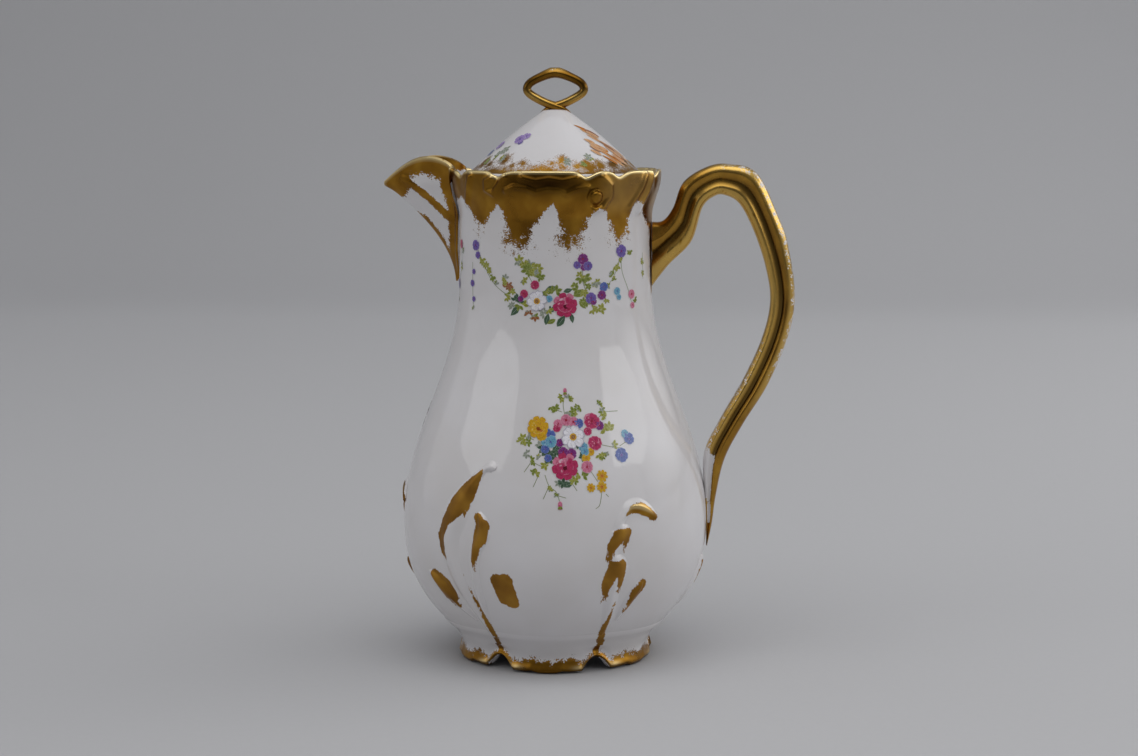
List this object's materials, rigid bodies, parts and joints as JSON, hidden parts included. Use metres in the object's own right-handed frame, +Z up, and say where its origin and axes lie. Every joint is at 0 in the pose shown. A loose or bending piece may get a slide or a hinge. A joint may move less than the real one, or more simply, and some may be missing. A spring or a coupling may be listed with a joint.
{
  "type": "lidded chocolate pot",
  "caption": "Tall pear-shaped lobed porcelain pot on a scalloped foot, with an open beak spout, a channelled loop handle and a lift-off domed lid with a loop finial.",
  "frame": {"origin": "on the table, on the vertical axis of the pot, at the centre of the foot circle", "axes": "+Z up along the pot's axis, +X towards the handle, -X towards the beak, +Y away from the side that the picture shows"},
  "size_m": [0.1742, 0.1312, 0.2494],
  "materials": {
    "porcelain_white": "glossy",
    "gilding": "satin"
  },
  "bodies": {
    "pot": {"scalloped_foot": "porcelain_white", "pot_body": "porcelain_white", "rim_border": "gilding", "pouring_beak": "gilding", "lid_ledge": "porcelain_white", "handle": "gilding", "plume_leaf_front": "porcelain_white", "plume_leaf_back": "porcelain_white", "plume_leaf_handle": "porcelain_white", "scroll_stem_front": "porcelain_white", "scroll_stem_back": "porcelain_white", "scroll_stem_beak": "porcelain_white"},
    "lid": {"lid_dome": "porcelain_white", "lid_collar": "porcelain_white", "loop_finial": "gilding"}
  },
  "joints": [
    {"name": "lid_lift", "type": "slide", "parent": "pot", "child": "lid", "axis": [0, 0, 1], "range_m": [0, 0.08]}
  ]
}
